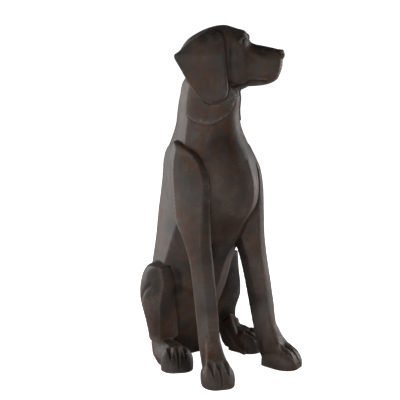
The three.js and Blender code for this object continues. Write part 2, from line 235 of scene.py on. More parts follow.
# Width of the line between the lips, the swelling above it, and how far the jaw below it is set back.
LIPS = {"line_width": 2.0, "swell": 0.9, "swell_above": 4.5, "swell_width": 3.0, "jaw_back": 1.6}
# A painted highlight along the front edge of the lips and the jaw: distance forward and height.
LIP_FRONT = [(139, 630), (139, 619), (135, 603), (126, 589), (118, 582), (99, 578), (85, 577), (74, 575)]
# Grooves of the face, done on both sides: nostril, split under the nose, furrow of the brow, hollow before
# the eye, hollow of the cheek, and groove before the ear. Places are forward, out and up, then depth, width.
FACE_GROOVES = [
    ([(144, 5, 640), (142, 9, 644), (137, 14, 645)], 3.6, 2.2),
    ([(146, 0, 646), (145, 0, 636), (140, 0, 622), (134, 0, 604)], 1.5, 1.5),
    ([(72, 0, 674), (50, 0, 692), (24, 0, 698)], 1.2, 5.5),
    ([(76, 20, 668), (88, 24, 652), (106, 24, 645)], 1.4, 5.5),
    ([(70, 33, 652), (82, 30, 636)], 1.2, 7),
    ([(41, 42, 684), (42, 44, 655), (43, 45, 620), (44, 42, 596)], 3.0, 5),
]
# A scratch across the right of the chest.
CHEST_SCRATCH = [(-47, -34, 312), (-38, -52, 324), (-28, -66, 336), (-22, -74, 342)]

# Ear, from its fold down to its tip: height, front edge, back edge, and how far it stands out.
EAR = [
    (690, 16, -10, 30),
    (683, 22, -22, 42),
    (668, 27, -44, 51),
    (650, 30, -63, 57),
    (640, 31, -73, 59),
    (618, 33, -61, 61),
    (590, 36, -44, 65),
    (567, 35, -27, 68),
    (556, 24, -14, 68),
    (550, 8, -2, 65),
]
EAR_THICKNESS = 13
EAR_EDGE = 5
LEFT_EAR_PUSH = 15

# Raised lobe on each side of the neck: height, and the angles of its front edge on the right, its front edge
# on the left and its back edge, in degrees round the neck from the middle of its front.
LOBE = [
    (507, 44, 44, 58),
    (509, 36, 36, 69),
    (514, 27, 27, 79),
    (521, 17, 19, 90),
    (530, 7, 14, 99),
    (540, 1, 12, 112),
    (555, -5, 14, 127),
    (575, -30, 24, 137),
    (600, -52, 36, 144),
]
# The left lobe stands off less than the right one.
LEFT_LOBE_SHARE = 0.5
# The lobe's edge rises between two depths inside its outline, and a groove runs just outside it.
LOBE_EDGE = {"from": -1.2, "to": 1.6, "groove_out": 2.6, "groove_width": 1.6, "groove_depth": 0.9}

# Creases beside the thigh, drawn on the dog's left: the recess at the flank and the short fold behind.
THIGH_RECESS = [
    (66, 58, 208),
    (66, 52, 185),
    (66, 51, 160),
    (62, 56, 130),
    (57, 64, 100),
    (55, 70, 75),
    (54, 75, 50),
]
THIGH_FOLD = [(113, 78, 170), (118, 90, 160), (118, 103, 146), (117, 112, 134), (114, 121, 122)]
# Each crease with its depth and width.
CREASES = [(THIGH_RECESS, 3.2, 5), (THIGH_FOLD, 2.2, 5)]

# Drawn on the dog's left and done on both sides: x, y, z, how far it reaches, its strength.
# Painted light: grey brown that makes a face lighter, as if more light fell on it.
PAINTED_LIGHT_SPOTS = [
    (86, -112, 30, 40, 1.0),
    (76, -84, 95, 60, 0.9),
    (84, -62, 190, 60, 0.5),
    (114, 66, 38, 26, 1.0),
    (45, 0, 480, 36, 1.0),
    (40, 40, 100, 60, 0.3),
]
# Painted shade: near black brown where shade falls, inside the legs, under the chest and beside the thighs.
SHADE_SPOTS = [
    (94, -6, 24, 34, 0.9),
    (92, 40, 50, 26, 0.7),
    (64, 55, 190, 22, 0.8),
    (64, 54, 155, 20, 0.8),
    (60, 60, 120, 20, 0.7),
    (45, 2, 250, 28, 0.9),
    (45, -32, 190, 30, 0.9),
    (49, -48, 130, 28, 0.9),
    (54, -62, 70, 24, 0.8),
    (22, -72, 285, 50, 0.5),
    (16, -30, 235, 50, 0.5),
    (79, 60, 262, 40, 0.5),
]
# Painted shade on the left of the neck's front only.
LEFT_SHADE_SPOTS = [
    (25, -56, 470, 40, 1.0),
    (24, -50, 500, 30, 0.7),
]
# A painted highlight: a light strip down the left of the chest.
CHEST_SHEEN = [(22, -75, 432), (26, -80, 415), (27, -83, 385), (27, -79, 350), (24, -66, 322)]
# A line down the shaded front of the left thigh.
LEFT_THIGH_SHADE = [(84, 60, 196), (84, 60, 150), (84, 74, 100), (84, 86, 60)]
# Where forms are smoothed into each other: instep, heel, and the foot and the top of the thigh.
BLENDED = [
    (80, -102, 72, 36, 1.0),
    (78, -96, 100, 34, 1.0),
    (66, -62, 8, 22, 0.8),
    (62, 66, 60, 22, 0.6),
    (98, 108, 208, 36, 1.0),
    (78, 120, 208, 36, 1.0),
]
# Rust: neck lobe, thigh, flank, instep, hind foot and chest.
RUSTED = [
    (48, 12, 528, 42, 0.75),
    (86, 60, 72, 36, 0.8),
    (56, 62, 105, 44, 0.8),
    (76, -90, 62, 26, 0.5),
    (96, 22, 46, 26, 0.7),
    (34, -56, 400, 55, 0.35),
    (70, -42, 330, 50, 0.3),
    (80, 40, 245, 40, 0.3),
]
# Painted shade and rust on the head: distance forward, to the left, up, reach and strength.
HEAD_SHADE_SPOTS = [
    (100, 12, 657, 26, 0.8),
    (12, 42, 684, 20, 0.7),
    (-14, 46, 674, 20, 0.7),
    (46, 43, 650, 14, 0.6),
    (45, 42, 620, 14, 0.6),
]
HEAD_RUSTED = [
    (84, 30, 640, 17, 1.0),
    (46, 40, 674, 20, 0.6),
    (56, 36, 655, 14, 0.4),
    (0, 62, 575, 34, 0.5),
    (104, 27, 604, 20, 0.4),
    (20, 52, 665, 30, 0.3),
]

# Soft lights round the dog: how far to the right of the picture, toward the camera and above the chest they
# stand, their width and height, all in metres, and their power.
LIGHTS = {
    "left_rear": (-1.3, -0.9, 0.1, 0.9, 1.9, 22),
    "left_side": (-1.7, 0.5, 0.1, 1.0, 1.9, 6),
    "front": (-0.9, 2.7, -0.05, 1.2, 0.7, 17.5),
    "front_right": (0.9, 2.7, -0.05, 1.2, 0.7, 3.5),
    "far_right": (2.3, 1.6, 0.0, 1.0, 1.0, 1.5),
    "right_rear": (1.6, -0.95, 0.2, 0.6, 1.8, 28),
}
CHEST_HEIGHT = 0.36
FLOOR_HALF_WIDTH = 12.0

# How far a point stands out from the form near it and wide round it, in millimetres, where its mask is full.
FULL_RELIEF = {"fine": 0.2, "wide": 2.2}


class DogSizes(bpy.types.PropertyGroup):
    """Sizes of the cast surface that a user might change"""

    skin: bpy.props.FloatProperty(
        name="Skin spacing", description="Distance between points of the fused surface",
        default=1.5 * MM, min=0.8 * MM, unit="LENGTH", precision=5)
    faces: bpy.props.IntProperty(
        name="Faces", description="Triangles kept in the finished casting",
        default=185000, min=20000, max=198000)
    lobe_rise: bpy.props.FloatProperty(
        name="Neck lobe rise", description="How far the lobe below each ear stands off the neck",
        default=5 * MM, unit="LENGTH")
    lip_depth: bpy.props.FloatProperty(
        name="Lip line depth", description="Depth of the line carved between the lips",
        default=3.4 * MM, unit="LENGTH")
    toe_depth: bpy.props.FloatProperty(
        name="Toe groove depth", description="Depth of the grooves carved between the toes",
        default=6 * MM, unit="LENGTH")
    hand_work: bpy.props.FloatProperty(
        name="Hand work", description="Height of the soft waves that modelling by hand leaves on the surface",
        default=0.45 * MM, unit="LENGTH", precision=5)


class DogFinish(bpy.types.PropertyGroup):
    """Colours of the resin finish"""

    resin: bpy.props.FloatVectorProperty(
        name="Resin", description="Dark charcoal brown of the casting",
        subtype="COLOR", size=4, min=0, max=1, default=(0.042, 0.029, 0.023, 1))
    # Grey brown in random clouds and on raised forms, and painted light on faces that should look more lit.
    dust_and_light: bpy.props.FloatVectorProperty(
        name="Dust and painted light", description="Grey brown that lies on the raised faces",
        subtype="COLOR", size=4, min=0, max=1, default=(0.078, 0.064, 0.055, 1))
    rust: bpy.props.FloatVectorProperty(
        name="Rust", description="Red brown in the hollows and in patches",
        subtype="COLOR", size=4, min=0, max=1, default=(0.13, 0.046, 0.019, 1))
    # Painted shade: near black brown put where shade falls.
    shade_colour: bpy.props.FloatVectorProperty(
        name="Painted shade colour", description="Near black brown that was left in shaded places",
        subtype="COLOR", size=4, min=0, max=1, default=(0.018, 0.012, 0.009, 1))
    # Light grey of the painted highlights on edges, of the painted light on faces and of the rubbed scratch.
    highlight_and_wear: bpy.props.FloatVectorProperty(
        name="Highlights and wear", description="Light grey where edges are rubbed through",
        subtype="COLOR", size=4, min=0, max=1, default=(0.23, 0.21, 0.19, 1))
    roughness: bpy.props.FloatProperty(
        name="Roughness", description="Roughness of the satin varnish",
        subtype="FACTOR", default=0.5, min=0, max=1)


class DogStage(bpy.types.PropertyGroup):
    """Camera and light of the studio"""

    azimuth: bpy.props.FloatProperty(
        name="Azimuth", description="How far the camera stands to the dog's right",
        subtype="ANGLE", default=math.radians(38))
    pitch: bpy.props.FloatProperty(
        name="Pitch", description="How far the camera looks down",
        subtype="ANGLE", default=math.radians(12.87))
    distance: bpy.props.FloatProperty(
        name="Distance", description="Distance of the camera along the floor", default=2.6, unit="LENGTH")
    height: bpy.props.FloatProperty(
        name="Height", description="Height of the camera above the floor", default=0.946, unit="LENGTH")
    aim_left: bpy.props.FloatProperty(
        name="Aim", description="How far the camera's aim lies to the right of the dog's middle",
        default=50 * MM, unit="LENGTH")
    lens: bpy.props.FloatProperty(
        name="Lens", description="Focal length of the camera in millimetres", default=119.4)
    surround: bpy.props.FloatProperty(
        name="Surround", description="Strength of the light that comes from all round the horizon",
        default=0.22, min=0)
    floor_glow: bpy.props.FloatProperty(
        name="Floor glow", description="How much brighter than its light the camera sees the floor",
        default=1.2, min=0)
    floor: bpy.props.FloatVectorProperty(
        name="Floor", description="Pale floor",
        subtype="COLOR", size=4, min=0, max=1, default=(0.9, 0.9, 0.9, 1))


def smooth_rows(rows, steps):
    """Rows of numbers with extra rows on a smooth curve between them."""
    rows = np.asarray(rows, float)
    out = []
    for i in range(len(rows) - 1):
        before = rows[max(i - 1, 0)]
        after = rows[min(i + 2, len(rows) - 1)]
        slope_in = (rows[i + 1] - before) / 2
        slope_out = (after - rows[i]) / 2
        gap = rows[i + 1] - rows[i]
        for k in range(steps):
            t = k / steps
            bend = 3 * gap - 2 * slope_in - slope_out + t * (slope_in + slope_out - 2 * gap)
            out.append(rows[i] + t * (slope_in + t * bend))
    out.append(rows[-1])
    return np.array(out)


def squircle(around, power):
    """Points round a rounded square of half width 1."""
    angles = 2 * math.pi * (np.arange(around) + 0.5) / around
    ways = np.column_stack([np.cos(angles), np.sin(angles)])
    return np.sign(ways) * np.abs(ways) ** (2 / power)


def rounded(corners, per_edge, bulge):
    """Outline through corners that stay crisp, with each side swelled outward by a share of its length."""
    corners = np.asarray(corners, float)
    following = np.roll(corners, -1, axis=0)
    area = (corners[:, 0] * following[:, 1] - following[:, 0] * corners[:, 1]).sum()
    out = []
    for a, b in zip(corners, following):
        edge = b - a
        outward = np.array([edge[1], -edge[0]]) * math.copysign(1, area)
        for k in range(per_edge):
            t = k / per_edge
            out.append(a + edge * t + outward * bulge * 4 * t * (1 - t))
    return np.array(out)


class Clay:
    """Gathers closed forms, in millimetres, to be fused into one skin."""

    def __init__(self):
        self.points = []
        self.faces = []
        self.count = 0

    def loft(self, rings):
        """Adds a closed form through rings of points that run the same way round."""
        rings = np.asarray(rings, float)
        number, around = rings.shape[:2]
        points = np.vstack([rings.reshape(-1, 3), rings[0].mean(axis=0), rings[-1].mean(axis=0)])
        first = number * around
        faces = []
        for r in range(number - 1):
            for i in range(around):
                j = (i + 1) % around
                this = r * around
                faces.append((this + i, this + j, this + around + j, this + around + i))
        end = (number - 1) * around
        for i in range(around):
            j = (i + 1) % around
            faces.append((first, j, i))
            faces.append((first + 1, end + i, end + j))
        if self.volume(points, faces) < 0:
            faces = [face[::-1] for face in faces]
        self.points.append(points)
        self.faces += [tuple(self.count + v for v in face) for face in faces]
        self.count += len(points)

    @staticmethod
    def volume(points, faces):
        total = 0.0
        for face in faces:
            a = points[face[0]]
            for k in range(1, len(face) - 1):
                total += a @ np.cross(points[face[k]], points[face[k + 1]])
        return total

    def mesh(self, name):
        mesh = bpy.data.meshes.new(name)
        mesh.from_pydata(np.vstack(self.points).tolist(), [], self.faces)
        mesh.update()
        return mesh


def front_shape(share):
    """Half width and depth ahead of the widest place, from the side (0) to the middle of the chest (1)."""
    panel, panel_start, facet, facet_depth, facet_start = CHEST.values()
    if share > panel_start:
        return panel * (1 - share) / (1 - panel_start), 1.0
    if share > facet_start:
        t = (share - facet_start) / (panel_start - facet_start)
        return facet + (panel - facet) * t, facet_depth + (1 - facet_depth) * t
    t = share / facet_start
    weights = np.array([(1 - t) ** 3, 3 * t * (1 - t) ** 2, 3 * t * t * (1 - t), t ** 3])
    return tuple(weights @ np.array(CHEST_CURVE))


def back_shape(share):
    """Half width and depth behind the widest place, from the side (0) to the middle of the back (1)."""
    wide, deep, turn, swell = BACK_CORNER.values()
    if share > turn:
        t = (share - turn) / (1 - turn)
        return wide * (1 - t), deep + (1 - deep) * math.sqrt(t)
    t = share / turn
    out = swell * 4 * t * (1 - t)
    return 1 + (wide - 1) * t + out * deep, deep * t + out * (1 - wide)


def trunk_ring(around):
    """The trunk's section in shares of half width and depth, from the dog's left round its back and front."""
    ring = []
    for i in range(around):
        quarter, step = divmod(4 * i / around, 1)
        share = step if quarter % 2 == 0 else 1 - step
        u, v = back_shape(share) if quarter < 2 else front_shape(share)
        ring.append((-u if quarter in (1, 2) else u, v if quarter < 2 else -v))
    return ring


def add_trunk(clay):
    ring = trunk_ring(around=100)
    rings = []
    for z, half_width, front, widest, back in smooth_rows(TRUNK, steps=6):
        depths = (back - widest, widest - front)
        rings.append([(u * half_width, widest + v * depths[0 if v > 0 else 1], z) for u, v in ring])
    clay.loft(rings)


def add_foreleg(clay, side):
    rings = []
    for z, outer, front, rear, lean, face, inner, blade_in, blade_back in smooth_rows(FORELEG, steps=6):
        corners = [
            (outer - lean, front),
            (outer, rear),
            (outer - blade_in, rear + blade_back),
            (inner, rear + REAR_EDGE),
            (inner + REAR_EDGE / 2, (front + rear) / 2),
            (outer - lean - face, front - FRONT_FACE_RISE),
        ]
        rings.append([(side * x, y, z) for x, y in rounded(corners, per_edge=5, bulge=SLAB_SWELL)])
    clay.loft(rings)


def paw_place(paw, side):
    """A function from across, forward and up in the paw to the dog's frame."""
    turn = math.radians(paw["splay"]) * side
    c = math.cos(turn)
    s = math.sin(turn)

    def put(across, forward, up):
        return (c * across + s * forward + side * paw["x"], s * across - c * forward + paw["y"], up)

    return put


def add_paw(clay, paw, side, shape=PAW_SHAPE, power=2.7, deep=0.75):
    """A blunt form along a paw, through rounded squares that reach below the floor where deep is over 0.5."""
    put = paw_place(paw, side)
    rings = []
    for forward, wide, high in smooth_rows(shape, steps=5):
        half_width = paw["half_width"] * wide
        height = paw["height"] * high
        rings.append([
            put(u * half_width, forward * paw["length"], (v * deep + 1 - deep) * height)
            for u, v in squircle(around=56, power=power)])
    clay.loft(rings)


def add_instep(clay, side):
    """The slope from the front of the leg down to the knuckles of the front paw."""
    add_paw(clay, FRONT_PAW, side, INSTEP_SHAPE, power=3.2, deep=0.6)


def add_hind_foot(clay, side):
    height, least, undercut, edge = FOOT_EDGE.values()
    rings = []
    for y, outer, ridge, inner, low, high in smooth_rows(HIND_FOOT, steps=5):
        corners = [
            (inner, low),
            (outer - undercut, low),
            (outer, max(height, low + least)),
            (ridge, high),
            (inner + edge, high),
            (inner, high - edge),
        ]
        rings.append([(side * x, y, z) for x, z in rounded(corners, per_edge=4, bulge=0.03)])
    clay.loft(rings)


def add_thigh(clay, side):
    fore = THIGH_FRONT
    hind = THIGH_REAR
    cut = LEFT_THIGH_UNDERCUT
    rings = []
    for z, front, ridge, outer, outer_y, rear in smooth_rows(THIGH, steps=6):
        undercut = cut["depth"] * max(0, (cut["from"] - z) / (cut["from"] - cut["to"])) if side > 0 else 0
        face = min(front + undercut, outer_y - fore["ridge_behind"])
        behind = rear - outer_y
        corners = [
            (THIGH_INNER, face + fore["inner_behind"]),
            (THIGH_INNER + fore["bevel_width"], face + fore["bevel_behind"]),
            (ridge, face + fore["ridge_behind"]),
            ((ridge + outer) / 2 + fore["swell"], (face + outer_y) / 2),
            (outer, outer_y),
            (outer - hind["hip_in"], outer_y + behind * hind["hip_share"]),
            (outer - hind["haunch_in"], outer_y + behind * hind["haunch_share"]),
            (outer - hind["width"], rear),
            (THIGH_INNER, rear + hind["tuck"]),
        ]
        rings.append([(side * x, y, z) for x, y in rounded(corners, per_edge=5, bulge=0.04)])
    clay.loft(rings)


def add_tail(clay):
    """A furrowed tube along the tail, whose sections stand square to its way."""
    around = 40
    number, depth, twist = TAIL_FURROWS.values()
    rows = smooth_rows(TAIL, steps=8)
    places = rows[:, :3]
    rings = []
    for i, row in enumerate(rows):
        along = places[min(i + 1, len(rows) - 1)] - places[max(i - 1, 0)]
        along /= np.linalg.norm(along)
        across = np.cross((0, 0, 1), along)
        across /= np.linalg.norm(across)
        up = np.cross(along, across)
        ring = []
        for k in range(around):
            angle = 2 * math.pi * k / around
            radius = row[3] * (1 + depth * math.cos(number * angle + i * twist))
            ring.append(places[i] + radius * (math.cos(angle) * across + math.sin(angle) * up))
        rings.append(ring)
    clay.loft(rings)


def on_head(forward, left, up):
    """Place in the dog's frame of a point given along the face, to the dog's left, and up from the floor."""
    turn = math.radians(HEAD_TURN)
    c = math.cos(turn)
    s = math.sin(turn)
    return (c * left + s * forward + HEAD_X, s * left - c * forward + HEAD_Y, up)


def add_skull(clay):
    ring = squircle(around=64, power=SKULL_ROUNDNESS)
    rings = []
    for forward, top, bottom, half_width, widest in smooth_rows(SKULL, steps=6):
        reach = (top - widest, widest - bottom)
        rings.append([
            on_head(forward, u * half_width, widest + v * reach[0 if v > 0 else 1]) for u, v in ring])
    clay.loft(rings)


def add_egg(clay, put, radii, parts):
    """An egg, where put places a point that is given along, out and up from its middle."""
    around = 20
    rings = []
    for k in range(1, parts):
        polar = math.pi * k / parts
        reach = math.sin(polar)
        ring = []
        for i in range(around):
            turn = 2 * math.pi * i / around
            along = radii[0] * reach * math.cos(turn)
            up = radii[2] * reach * math.sin(turn)
            ring.append(put(along, radii[1] * math.cos(polar), up))
        rings.append(ring)
    clay.loft(rings)


def add_nose(clay):
    """A rounded pad with a wing round each nostril."""
    pad = NOSE_PAD
    wing = NOSE_WING
    middle = (pad["from"] + pad["to"]) / 2
    height = (pad["top"] + pad["bottom"]) / 2
    half_height = (pad["top"] - pad["bottom"]) / 2
    eggs = [((middle, 0, height), ((pad["to"] - pad["from"]) / 2, pad["half_width"], half_height))]
    for side in SIDES:
        place = (pad["to"] - wing["behind"], side * pad["half_width"] * wing["across"], height + wing["rise"])
        eggs.append((place, (wing["half_length"], wing["half_width"], half_height * wing["height_share"])))
    for place, radii in eggs:
        add_egg(clay, lambda *offset: on_head(*np.add(place, offset)), radii, parts=12)


def add_eye(clay, side):
    """Eyeball between raised lids, on the corner where the side of the head turns to its front."""
    wide, high, lid = EYE["half_width"], EYE["half_height"], EYE["lid"]

    def on_ball(across, out, up):
        return on_eye(side, across, out - EYE["sunk"], up)

    add_egg(clay, on_ball, (wide, EYE["ball"], high), parts=10)
    parts = 36
    round_lid = 10
    rings = []
    for k in range(parts):
        turn_round = 2 * math.pi * k / parts
        c = math.cos(turn_round)
        s = math.sin(turn_round)
        corner = 1 - LIDS["pinch"] * abs(c) ** 3
        ring = []
        for i in range(round_lid):
            roll = 2 * math.pi * i / round_lid
            reach = 1 + lid * math.cos(roll) / wide
            out = lid * LIDS["roundness"] * math.sin(roll) + LIDS["arch"] * s * s * corner + LIDS["proud"]
            ring.append(on_eye(side, c * wide * LIDS["length"] * reach, out, s * high * corner * reach))
        rings.append(ring)
    clay.loft(rings[:parts // 2 + 1])
    clay.loft(rings[parts // 2:] + rings[:1])


def on_eye(side, across, out, up):
    """Place given across the eye, out of it and up, in the dog's frame."""
    turn = math.radians(EYE["turn"])
    forward = across * math.cos(turn) + out * math.sin(turn)
    beside = out * math.cos(turn) - across * math.sin(turn)
    return on_head(EYE["forward"] + forward, side * (EYE["out"] + beside), EYE["height"] + up)


def chamfer_shade(points):
    """Painted shade on the bevel along the front of each shoulder."""
    cover = np.zeros(len(points))
    for side in SIDES:
        path = [
            (side * (outer - lean - 0.55 * face), front - 0.5 * FRONT_FACE_RISE, z)
            for z, outer, front, rear, lean, face, *blade in FORELEG[1:8]]
        far, along = curve_distance(points, path)
        cover = np.maximum(cover, 0.6 * (1 - fade(far, 4, 8)) * (1 - fade(along, 0.7, 1)))
    return cover


def eye_ring(side):
    """The rim of the lids, round the eye's back."""
    wide = EYE["half_width"] * 1.15
    high = EYE["half_height"]
    turns = [math.radians(a) for a in range(65, 300, 15)]
    return [on_eye(side, wide * math.cos(a), 2.5, high * math.sin(a)) for a in turns]


def eyeballs(points):
    """1 on the part of each eyeball that shows between the lids, and on the shaded corner in front of it."""
    shown = np.zeros(len(points))
    for side in SIDES:
        far = np.linalg.norm(points - on_eye(side, 0, 3, 0), axis=1)
        shown = np.maximum(shown, 1 - fade(far, EYE["half_height"] * 0.6, EYE["half_height"] * 0.85))
        far = np.linalg.norm(points - on_eye(side, 9.5, 1, -2), axis=1)
        shown = np.maximum(shown, 1 - fade(far, 4.5, 8))
    return shown


def nostril_ring(side):
    """The rim round the back of a nostril."""
    turns = [math.radians(a) for a in range(70, 300, 20)]
    return [on_head(140.5 + 3.5 * math.cos(a), side * 11, 641 + 5.5 * math.sin(a)) for a in turns]


def add_ear(clay, side):
    top = EAR[0][0]
    tip = EAR[-1][0]
    rings = []
    for z, front, back, stands in smooth_rows(EAR, steps=6):
        push = LEFT_EAR_PUSH * (top - z) / (top - tip) if side > 0 else 0
        out = stands + push
        inner = out - EAR_THICKNESS
        edge = min(EAR_EDGE, (front - back) / 4)
        corners = [
            (back, inner),
            (back + edge / 2, out - edge / 2),
            (back + edge * 2, out),
            ((front + back) / 2, out + 2),
            (front - edge, out),
            (front, out - edge),
            (front, inner - 4),
        ]
        outline = rounded(corners, per_edge=5, bulge=0.02)
        rings.append([on_head(forward, side * left, z) for forward, left in outline])
    clay.loft(rings)


def model_forms():
    """All the forms of the dog, overlapping where they run into each other."""
    clay = Clay()
    add_trunk(clay)
    add_tail(clay)
    add_skull(clay)
    add_nose(clay)
    for side in SIDES:
        add_foreleg(clay, side)
        add_paw(clay, FRONT_PAW, side)
        add_instep(clay, side)
        add_thigh(clay, side)
        add_hind_foot(clay, side)
        add_paw(clay, HIND_PAW, side)
        add_ear(clay, side)
        add_eye(clay, side)
    return clay


def apply_modifiers(obj, name):
    """Gives the object a mesh of this name with its modifiers applied."""
    graph = bpy.context.evaluated_depsgraph_get()
    mesh = bpy.data.meshes.new_from_object(obj.evaluated_get(graph))
    mesh.name = name
    old = obj.data
    obj.modifiers.clear()
    obj.data = mesh
    bpy.data.meshes.remove(old)


def fuse(obj, spacing):
    """Makes one outer skin of all the forms."""
    skin = obj.modifiers.new("Skin", "REMESH")
    skin.mode = "VOXEL"
    skin.voxel_size = spacing
    apply_modifiers(obj, "cast_skin")


def thin(obj, faces):
    """Lowers the number of triangles, keeping edges where they are."""
    now = sum(len(p.vertices) - 2 for p in obj.data.polygons)
    cut = obj.modifiers.new("Thin", "DECIMATE")
    cut.ratio = min(1.0, faces / now)
    cut.use_collapse_triangulate = True
    apply_modifiers(obj, "cast_thinned")


class Skin:
    """The points of the fused mesh as arrays, in the dog's frame and in millimetres."""

    def __init__(self, mesh):
        self.mesh = mesh
        count = len(mesh.vertices)
        self.points = np.empty(count * 3)
        mesh.vertices.foreach_get("co", self.points)
        self.points = self.points.reshape(-1, 3)
        edges = np.empty(len(mesh.edges) * 2, dtype=np.int64)
        mesh.edges.foreach_get("vertices", edges)
        self.edges = edges.reshape(-1, 2)
        self.valence = np.bincount(self.edges.ravel(), minlength=count).astype(float)
        self.read_normals()

    def read_normals(self):
        normals = np.empty(len(self.mesh.vertices) * 3)
        self.mesh.vertices.foreach_get("normal", normals)
        self.normals = normals.reshape(-1, 3)

    def neighbours(self, values):
        """Mean of the values at each point's neighbours."""
        a, b = self.edges.T
        columns = values.reshape(len(values), -1).T
        count = len(values)
        sums = [
            np.bincount(a, weights=c[b], minlength=count) + np.bincount(b, weights=c[a], minlength=count)
            for c in columns
        ]
        return (np.array(sums) / self.valence).T.reshape(values.shape)

    def write(self):
        self.mesh.vertices.foreach_set("co", self.points.ravel())
        self.mesh.update()
        self.read_normals()

    def relax(self, rounds, share):
        for _ in range(rounds):
            self.points += share * (self.neighbours(self.points) - self.points)
        self.write()

    def relax_at(self, cover, rounds):
        """Softens the surface where cover is 1, and leaves it where cover is 0."""
        for _ in range(rounds):
            self.points += 0.6 * cover[:, None] * (self.neighbours(self.points) - self.points)
        self.write()

    def push(self, amount):
        """Moves each point along its normal."""
        self.points += self.normals * amount[:, None]
        self.write()

    def on_face(self):
        """Each point's distance along the face, to the dog's left, and up."""
        turn = math.radians(HEAD_TURN)
        x = self.points[:, 0] - HEAD_X
        y = self.points[:, 1] - HEAD_Y
        forward = math.sin(turn) * x - math.cos(turn) * y
        left = math.cos(turn) * x + math.sin(turn) * y
        return forward, left, self.points[:, 2]


def line_distance(points, path):
    """Distance of each point to the line through the path's places, and how far along it, from 0 to 1."""
    path = np.asarray(path, float)
    best = np.full(len(points), np.inf)
    along = np.zeros(len(points))
    parts = len(path) - 1
    for k in range(parts):
        a = path[k]
        step = path[k + 1] - a
        t = np.clip((points - a) @ step / (step @ step), 0, 1)
        far = np.linalg.norm(points - a - t[:, None] * step, axis=1)
        nearer = far < best
        best[nearer] = far[nearer]
        along[nearer] = (k + t[nearer]) / parts
    return best, along


def curve_distance(points, path, steps=4):
    """The same for a smooth curve through the places."""
    return line_distance(points, smooth_rows(path, steps))


def fade(value, low, high):
    """0 below low, 1 above high, smooth between."""
    t = np.clip((value - low) / (high - low), 0, 1)
    return t * t * (3 - 2 * t)


def bell(far, width):
    """1 in the middle of a groove or ridge, and soft toward both its sides."""
    return np.exp(-(far / width) ** 2)


def neck_turn(points):
    """Degrees round the neck from the middle of its front, and how far out, where 1 is on its surface."""
    rows = smooth_rows(TRUNK, steps=6)
    half, front, widest, back = (np.interp(points[:, 2], rows[:, 0], rows[:, k]) for k in range(1, 5))
    across = np.abs(points[:, 0]) / half
    ahead = widest - points[:, 1]
    along = ahead / np.where(ahead > 0, widest - front, back - widest)
    ring = np.array([(u, -v) for u, v in trunk_ring(around=200) if u >= 0])
    turns = np.degrees(np.arctan2(ring[:, 0], ring[:, 1]))
    order = np.argsort(turns)
    turn = np.degrees(np.arctan2(across, along))
    surface = np.interp(turn, turns[order], np.hypot(ring[:, 0], ring[:, 1])[order])
    return turn, np.hypot(across, along) / surface


def lobe_reach(points, side, limit):
    """How far each point lies inside a neck lobe's outline, in millimetres, and 1 where it is on the neck."""
    front = 2 if side > 0 else 1
    corners = [(row[front], row[0]) for row in LOBE[::-1]] + [(row[3], row[0]) for row in LOBE]
    outline = smooth_rows(corners, steps=4)
    outline[:, 0] = np.maximum.accumulate(outline[:, 0])
    turn, reach = neck_turn(points)
    turn = np.where(points[:, 0] * side > 0, turn, -turn)
    z = points[:, 2]
    far, _ = line_distance(np.column_stack([turn, z]), outline)
    inside = (z > np.interp(turn, outline[:, 0], outline[:, 1])) & (turn > outline[0, 0])
    on_neck = (1 - fade(reach, limit, limit + 0.05)) * fade(z, 488, 494) * (1 - fade(z, 592, 604))
    return np.where(inside, far, -far), on_neck


def raise_lobes(skin, rise):
    """Raises the lobe on each side of the neck, with a crisp edge and a slight groove below it."""
    lift = np.zeros(len(skin.points))
    groove = np.zeros(len(skin.points))
    lower = 1 - 0.8 * fade(skin.points[:, 2], 575, 600)
    start, end, groove_out, groove_width, groove_depth = LOBE_EDGE.values()
    for side in SIDES:
        depth, on_neck = lobe_reach(skin.points, side, limit=1.04)
        share = on_neck * (LEFT_LOBE_SHARE if side > 0 else 1)
        lift = np.maximum(lift, share * fade(depth, start, end) * lower)
        groove = np.maximum(groove, share * bell(depth + groove_out, groove_width))
    skin.push(rise * lift - groove_depth * groove * (1 - lift))


def soften_chest(skin):
    """Takes the crispness off panel and facet, on the right of the chest and on both sides of the neck."""
    x, y, z = skin.points.T
    across = x - 58 * fade(z, 425, 455)
    cover = fade(x, -62, -50) * (1 - fade(across, -7, 1)) * (1 - fade(y, -10, 5)) * fade(z, 250, 290)
    skin.relax_at(cover * (1 - fade(z, 526, 544)), rounds=140)


def carve_lips(skin, depth):
    """Cuts the line between the lips and sets the lower jaw a little back."""
    forward, left, up = skin.on_face()
    out = np.abs(left)
    path = smooth_rows(LIP_LINE, steps=6)
    far, along = line_distance(np.column_stack([forward, up]), path)
    above = up - np.interp(forward, path[:, 0], path[:, 1])
    near = (forward > 37) & (forward < 132) & (up > 560) & (up < 640) & (out > 6) & (out < 47)
    groove = depth * bell(far, LIPS["line_width"]) * fade(along, 0.0, 0.12) * (1 - fade(along, 0.85, 1.0))
    lip = LIPS["swell"] * bell(above - LIPS["swell_above"], LIPS["swell_width"]) * fade(forward, 38, 60)
    jaw = LIPS["jaw_back"] * fade(-above, 0, 3) * (1 - fade(-above, 20, 34))
    jaw *= fade(forward, 38, 56) * (1 - fade(forward, 112, 124))
    skin.push(np.where(near, lip - groove - jaw, 0))


def carve_face(skin):
    """Presses the grooves and hollows of the face into both its sides."""
    forward, left, up = skin.on_face()
    places = np.column_stack([forward, np.abs(left), up])
    amount = np.zeros(len(places))
    for path, depth, width in FACE_GROOVES:
        far, _ = line_distance(places, path)
        amount -= depth * bell(far, width)
    skin.push(amount)


def carve_creases(skin):
    """The recess between thigh and flank, and the short fold at the back of the thigh."""
    amount = np.zeros(len(skin.points))
    for side in SIDES:
        for path, depth, width in CREASES:
            far, along = curve_distance(skin.points, [(side * x, y, z) for x, y, z in path])
            amount -= depth * bell(far, width) * fade(along, 0, 0.15) * (1 - fade(along, 0.8, 1))
    skin.push(amount)


